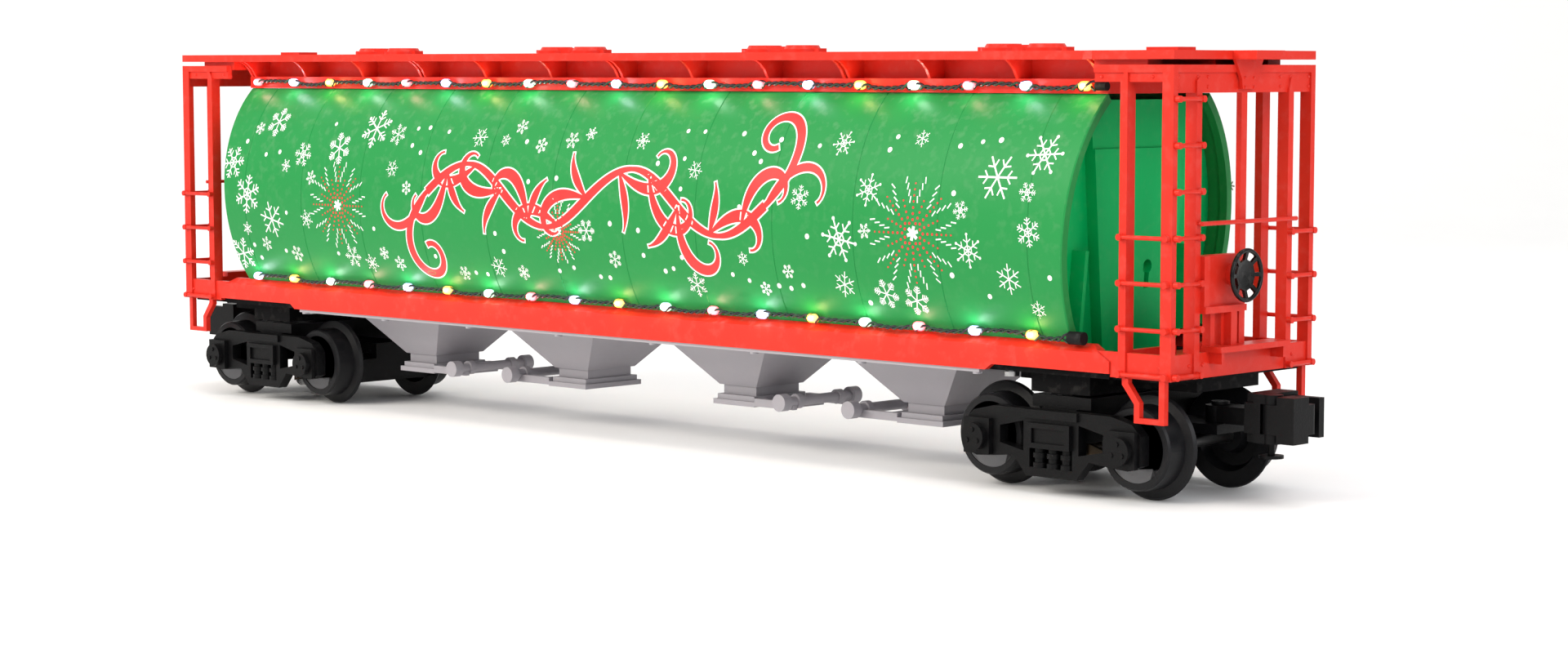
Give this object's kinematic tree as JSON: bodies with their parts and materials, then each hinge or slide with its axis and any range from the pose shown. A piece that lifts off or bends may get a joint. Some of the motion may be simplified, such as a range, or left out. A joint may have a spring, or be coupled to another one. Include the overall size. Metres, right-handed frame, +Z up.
{
  "type": "model railway covered hopper wagon",
  "caption": "Model railway wagon with a smooth oval tank, sloping hopper bays, open end platforms, swivelling trucks, couplers and strings of small lights.",
  "frame": {"origin": "middle of the wagon, level with the lowest points of the wheel flanges", "axes": "+X along the wagon toward the brake wheel end, +Y across it, +Z up"},
  "size_m": [0.403, 0.065, 0.1035],
  "materials": {
    "body_red": "moulded, semi gloss",
    "tank_green": "painted, semi gloss",
    "tank_end_green": "painted, semi gloss",
    "hopper_grey": "moulded, satin",
    "underframe_black": "moulded, matt",
    "cast_black": "die cast, blackened, satin",
    "wheel_black": "blackened steel, worn bright at the rim",
    "axle_steel": "turned",
    "plain_steel": "plated",
    "brake_black": "moulded, gloss",
    "pickup_brass": "spring brass",
    "roller_steel": "turned",
    "circuit_board": "solder resist",
    "wire_cover": "dark green varnish",
    "boot_rubber": "matt",
    "bulb_red": "clear resin, lit red",
    "bulb_blue": "clear resin, lit cold white",
    "bulb_amber": "clear resin, lit amber",
    "bulb_green": "clear resin, lit green white"
  },
  "bodies": {
    "car": {"underframe": "underframe_black", "ballast_weight": "plain_steel", "side_sill_near": "body_red", "side_sill_far": "body_red", "end_platform_a": "body_red", "end_platform_b": "body_red", "end_frame_a": "body_red", "end_frame_b": "body_red", "ladders_a": "body_red", "ladders_b": "body_red", "stirrup_steps": "body_red", "end_handrails": "body_red", "brake_stand": "body_red", "tank_shell": "tank_green", "tank_end_a": "tank_end_green", "tank_end_b": "tank_end_green", "roof_rail": "body_red", "walk_brackets": "body_red", "roof_walk": "body_red", "roof_hatches": "body_red", "hopper_flange": "hopper_grey", "bay_1": "hopper_grey", "bay_2": "hopper_grey", "bay_3": "hopper_grey", "bay_4": "hopper_grey", "outlet_gates": "hopper_grey", "gate_shafts": "hopper_grey", "light_board": "circuit_board", "wires_top": "wire_cover", "wires_bottom": "wire_cover", "bulbs_red": "bulb_red", "bulbs_blue": "bulb_blue", "bulbs_amber": "bulb_amber", "bulbs_green": "bulb_green", "wire_boots": "boot_rubber", "screws": "plain_steel"},
    "brake_wheel": {"brake_wheel": "brake_black"},
    "truck_a": {"bolster_a": "cast_black", "side_frames_a": "cast_black"},
    "wheelset_a1": {"axle_a1": "axle_steel", "wheels_a1": "wheel_black"},
    "wheelset_a2": {"axle_a2": "axle_steel", "wheels_a2": "wheel_black"},
    "coupler_a": {"coupler_a": "cast_black"},
    "knuckle_a": {"knuckle_a": "cast_black"},
    "release_pin_a": {"release_pin_a": "cast_black"},
    "pickup_arm_a": {"pickup_arm_a": "pickup_brass"},
    "pickup_roller_a": {"pickup_roller_a": "roller_steel"},
    "truck_b": {"bolster_b": "cast_black", "side_frames_b": "cast_black"},
    "wheelset_b1": {"axle_b1": "axle_steel", "wheels_b1": "wheel_black"},
    "wheelset_b2": {"axle_b2": "axle_steel", "wheels_b2": "wheel_black"},
    "coupler_b": {"coupler_b": "cast_black"},
    "knuckle_b": {"knuckle_b": "cast_black"},
    "release_pin_b": {"release_pin_b": "cast_black"},
    "pickup_arm_b": {"pickup_arm_b": "pickup_brass"},
    "pickup_roller_b": {"pickup_roller_b": "roller_steel"}
  },
  "joints": [
    {"name": "brake_wheel_spin", "type": "hinge", "parent": "car", "child": "brake_wheel", "pos_m": [0.183, -0.005, 0.0515], "axis": [1, 0, 0], "continuous": true},
    {"name": "truck_a_swivel", "type": "hinge", "parent": "car", "child": "truck_a", "pos_m": [-0.148, 0, 0.0228], "axis": [0, 0, 1], "range_deg": [-12, 12]},
    {"name": "wheelset_a1_spin", "type": "hinge", "parent": "truck_a", "child": "wheelset_a1", "pos_m": [-0.169, 0, 0.01225], "axis": [0, 1, 0], "continuous": true},
    {"name": "wheelset_a2_spin", "type": "hinge", "parent": "truck_a", "child": "wheelset_a2", "pos_m": [-0.127, 0, 0.01225], "axis": [0, 1, 0], "continuous": true},
    {"name": "coupler_a_swing", "type": "hinge", "parent": "truck_a", "child": "coupler_a", "pos_m": [-0.177, 0, 0.01735], "axis": [0, 0, 1], "range_deg": [-15, 15]},
    {"name": "knuckle_a_open", "type": "hinge", "parent": "coupler_a", "child": "knuckle_a", "pos_m": [-0.1945, 0.0046, 0.01985], "axis": [0, 0, 1], "range_deg": [-40, 0]},
    {"name": "release_pin_a_pull", "type": "slide", "parent": "coupler_a", "child": "release_pin_a", "axis": [0, 0, 1], "range_m": [-0.0015, 0], "stiffness_N_per_m": 20},
    {"name": "pickup_a_lift", "type": "hinge", "parent": "truck_a", "child": "pickup_arm_a", "pos_m": [-0.143, 0, 0.00935], "axis": [0, -1, 0], "range_deg": [-12, 8], "stiffness_Nm_per_rad": 0.02},
    {"name": "pickup_a_roll", "type": "hinge", "parent": "pickup_arm_a", "child": "pickup_roller_a", "pos_m": [-0.154, 0, 0.00565], "axis": [0, 1, 0], "continuous": true},
    {"name": "truck_b_swivel", "type": "hinge", "parent": "car", "child": "truck_b", "pos_m": [0.148, 0, 0.0228], "axis": [0, 0, 1], "range_deg": [-12, 12]},
    {"name": "wheelset_b1_spin", "type": "hinge", "parent": "truck_b", "child": "wheelset_b1", "pos_m": [0.169, 0, 0.01225], "axis": [0, 1, 0], "continuous": true},
    {"name": "wheelset_b2_spin", "type": "hinge", "parent": "truck_b", "child": "wheelset_b2", "pos_m": [0.127, 0, 0.01225], "axis": [0, 1, 0], "continuous": true},
    {"name": "coupler_b_swing", "type": "hinge", "parent": "truck_b", "child": "coupler_b", "pos_m": [0.177, 0, 0.01735], "axis": [0, 0, 1], "range_deg": [-15, 15]},
    {"name": "knuckle_b_open", "type": "hinge", "parent": "coupler_b", "child": "knuckle_b", "pos_m": [0.1945, -0.0046, 0.01985], "axis": [0, 0, 1], "range_deg": [-40, 0]},
    {"name": "release_pin_b_pull", "type": "slide", "parent": "coupler_b", "child": "release_pin_b", "axis": [0, 0, 1], "range_m": [-0.0015, 0], "stiffness_N_per_m": 20},
    {"name": "pickup_b_lift", "type": "hinge", "parent": "truck_b", "child": "pickup_arm_b", "pos_m": [0.143, 0, 0.00935], "axis": [0, 1, 0], "range_deg": [-12, 8], "stiffness_Nm_per_rad": 0.02},
    {"name": "pickup_b_roll", "type": "hinge", "parent": "pickup_arm_b", "child": "pickup_roller_b", "pos_m": [0.154, 0, 0.00565], "axis": [0, 1, 0], "continuous": true}
  ]
}
